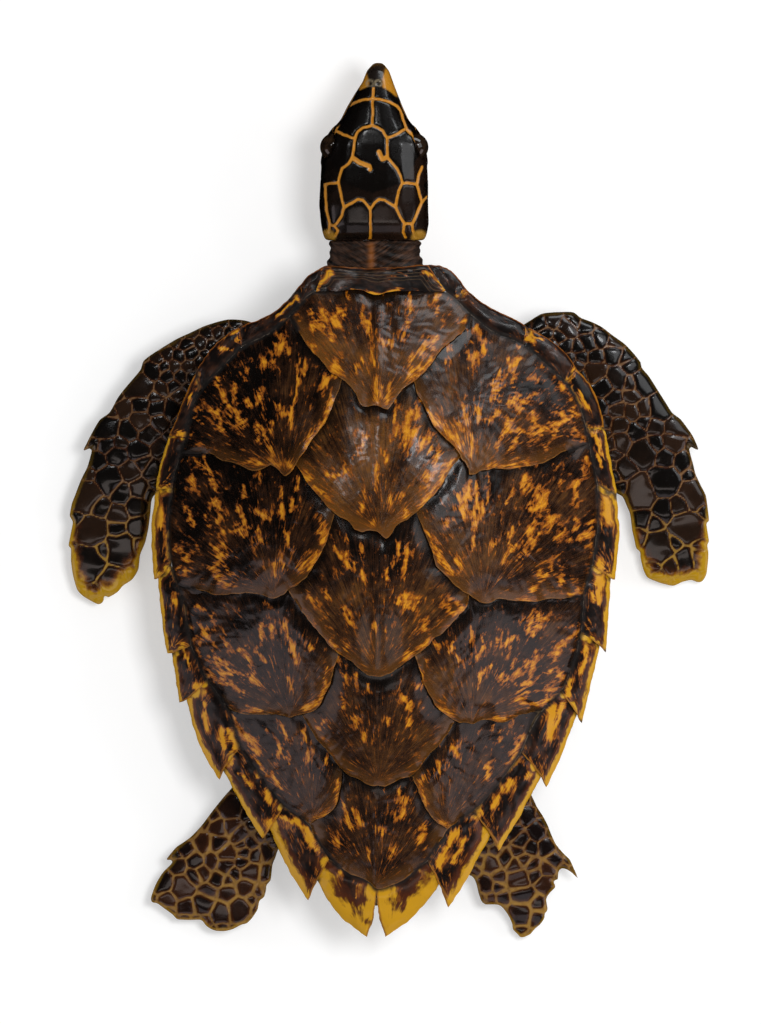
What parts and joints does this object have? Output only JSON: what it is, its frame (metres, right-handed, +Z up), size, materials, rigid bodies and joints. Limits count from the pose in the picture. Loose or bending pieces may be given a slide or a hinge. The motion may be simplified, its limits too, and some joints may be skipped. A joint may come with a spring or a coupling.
{
  "type": "preserved hawksbill turtle",
  "caption": "Whole preserved sea turtle lying on its plastron: domed tortoiseshell carapace with a toothed rim, hooked-beak head, neck and flippers spread to the sides.",
  "frame": {"origin": "on the flat underside of the plastron, below the shell's median keel line, where it rests on the ground", "axes": "+Y from tail to head, +X to the animal's right as seen from above with the head away from the viewer, +Z up through the carapace"},
  "size_m": [0.5133, 0.6995, 0.1704],
  "materials": {
    "bone": "dry and matt, dark in the seams",
    "belly_horn": "satin yellow horn",
    "back_horn": "varnished tortoiseshell, dark brown with amber flames",
    "rim_horn": "varnished tortoiseshell with an amber edge",
    "skin": "dried wrinkled skin",
    "head_horn": "glossy black scales with amber seams",
    "flipper_scales": "satin dark scales in tan skin",
    "eye_glass": "polished dark glass eye"
  },
  "bodies": {
    "root": {"carapace": "bone", "plastron": "belly_horn", "body_skin": "skin", "nuchal_scute": "rim_horn", "vertebral_scute_1": "back_horn", "vertebral_scute_2": "back_horn", "vertebral_scute_3": "back_horn", "vertebral_scute_4": "back_horn", "vertebral_scute_5": "back_horn", "costal_scute_left_1": "back_horn", "costal_scute_left_2": "back_horn", "costal_scute_left_3": "back_horn", "costal_scute_left_4": "back_horn", "costal_scute_right_1": "back_horn", "costal_scute_right_2": "back_horn", "costal_scute_right_3": "back_horn", "costal_scute_right_4": "back_horn", "marginal_scute_left_1": "rim_horn", "marginal_scute_left_2": "rim_horn", "marginal_scute_left_3": "rim_horn", "marginal_scute_left_4": "rim_horn", "marginal_scute_left_5": "rim_horn", "marginal_scute_left_6": "rim_horn", "marginal_scute_left_7": "rim_horn", "marginal_scute_left_8": "rim_horn", "marginal_scute_left_9": "rim_horn", "marginal_scute_left_10": "rim_horn", "marginal_scute_left_11": "rim_horn", "marginal_scute_left_12": "rim_horn", "marginal_scute_right_1": "rim_horn", "marginal_scute_right_2": "rim_horn", "marginal_scute_right_3": "rim_horn", "marginal_scute_right_4": "rim_horn", "marginal_scute_right_5": "rim_horn", "marginal_scute_right_6": "rim_horn", "marginal_scute_right_7": "rim_horn", "marginal_scute_right_8": "rim_horn", "marginal_scute_right_9": "rim_horn", "marginal_scute_right_10": "rim_horn", "marginal_scute_right_11": "rim_horn", "marginal_scute_right_12": "rim_horn", "head": "head_horn", "eye_left": "eye_glass", "eye_right": "eye_glass", "neck": "skin", "front_flipper_left": "flipper_scales", "front_flipper_right": "flipper_scales", "hind_flipper_left": "flipper_scales", "hind_flipper_right": "flipper_scales"}
  },
  "joints": []
}
